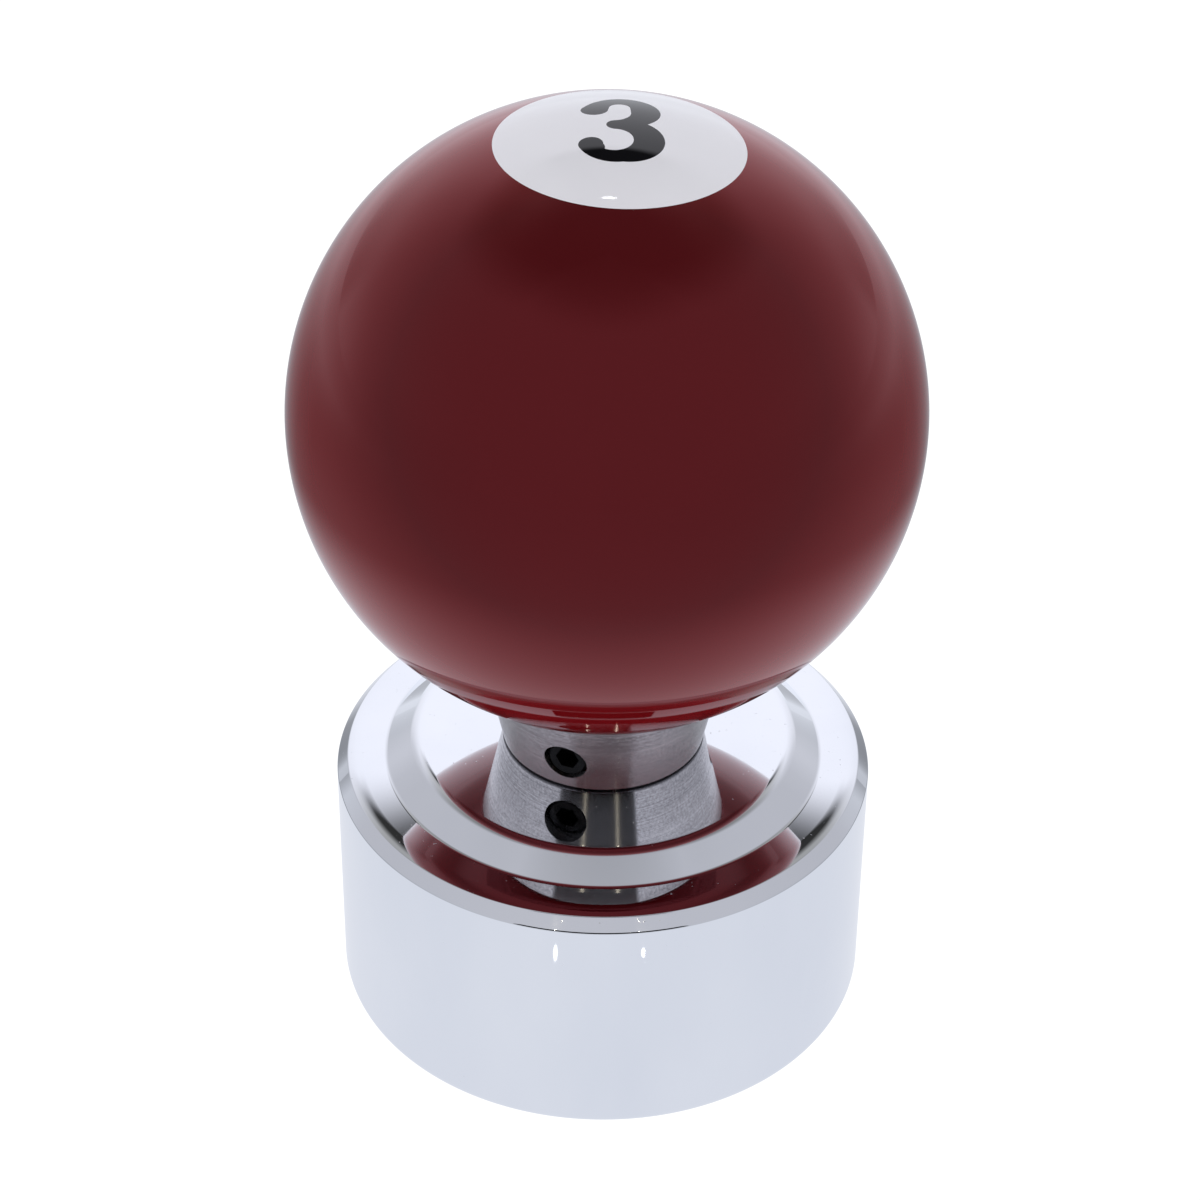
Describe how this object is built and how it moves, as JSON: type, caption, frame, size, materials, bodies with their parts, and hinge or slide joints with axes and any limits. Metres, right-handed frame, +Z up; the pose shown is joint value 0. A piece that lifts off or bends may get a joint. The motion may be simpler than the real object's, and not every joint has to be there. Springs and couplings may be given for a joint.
{
  "type": "gear shift knob",
  "caption": "Gear-shift knob made from a numbered pool ball on a flared neck, locked by radial set screws to a stud that rises from a round chromed adapter cup.",
  "frame": {"origin": "centre of the cup's bottom rim, on the knob's axis", "axes": "+Z up along the knob's axis, from the cup to the ball; -Y towards the viewer, who reads the numeral upright; +X to the viewer's right"},
  "size_m": [0.0572, 0.0572, 0.0918],
  "materials": {
    "ball_resin_red": "polished phenolic resin, deep red",
    "ball_resin_white": "polished phenolic resin, white",
    "ball_resin_black": "polished phenolic resin, black",
    "turned_aluminium": "bare aluminium with fine turning marks",
    "polished_chrome": "mirror-polished chrome plate",
    "plate_aluminium": "machined aluminium",
    "zinc_steel": "bright zinc-plated steel",
    "black_oxide_steel": "black-oxide alloy steel"
  },
  "bodies": {
    "adapter": {"adapter_plate": "plate_aluminium", "stud": "zinc_steel", "jam_nut": "zinc_steel", "lock_washer": "zinc_steel", "plate_screw_left": "black_oxide_steel", "plate_screw_right": "black_oxide_steel", "screw_washers": "zinc_steel"},
    "cup": {"cup": "polished_chrome"},
    "knob": {"ball_body": "ball_resin_red", "number_spot": "ball_resin_white", "numeral_three": "ball_resin_black", "neck_insert": "turned_aluminium"},
    "set_screw_front": {"set_screw_front": "black_oxide_steel"},
    "set_screw_right": {"set_screw_right": "black_oxide_steel"},
    "set_screw_rear": {"set_screw_rear": "black_oxide_steel"}
  },
  "joints": [
    {"name": "knob_turn", "type": "hinge", "parent": "adapter", "child": "cup", "pos_m": [0, 0, 0], "axis": [0, 0, 1], "range_deg": [0, 2880]},
    {"name": "knob_rise", "type": "slide", "parent": "cup", "child": "knob", "axis": [0, 0, 1], "range_m": [0, 0.01564]},
    {"name": "set_screw_front_travel", "type": "slide", "parent": "knob", "child": "set_screw_front", "axis": [-0.342, -0.9397, 0], "range_m": [0, 0.0025]},
    {"name": "set_screw_right_travel", "type": "slide", "parent": "knob", "child": "set_screw_right", "axis": [0.9848, 0.1736, 0], "range_m": [0, 0.0025]},
    {"name": "set_screw_rear_travel", "type": "slide", "parent": "knob", "child": "set_screw_rear", "axis": [-0.6428, 0.766, 0], "range_m": [0, 0.0025]}
  ],
  "couplings": [
    {"joint": "knob_rise", "follows": "knob_turn", "m_per_rad": 0.00031096}
  ]
}
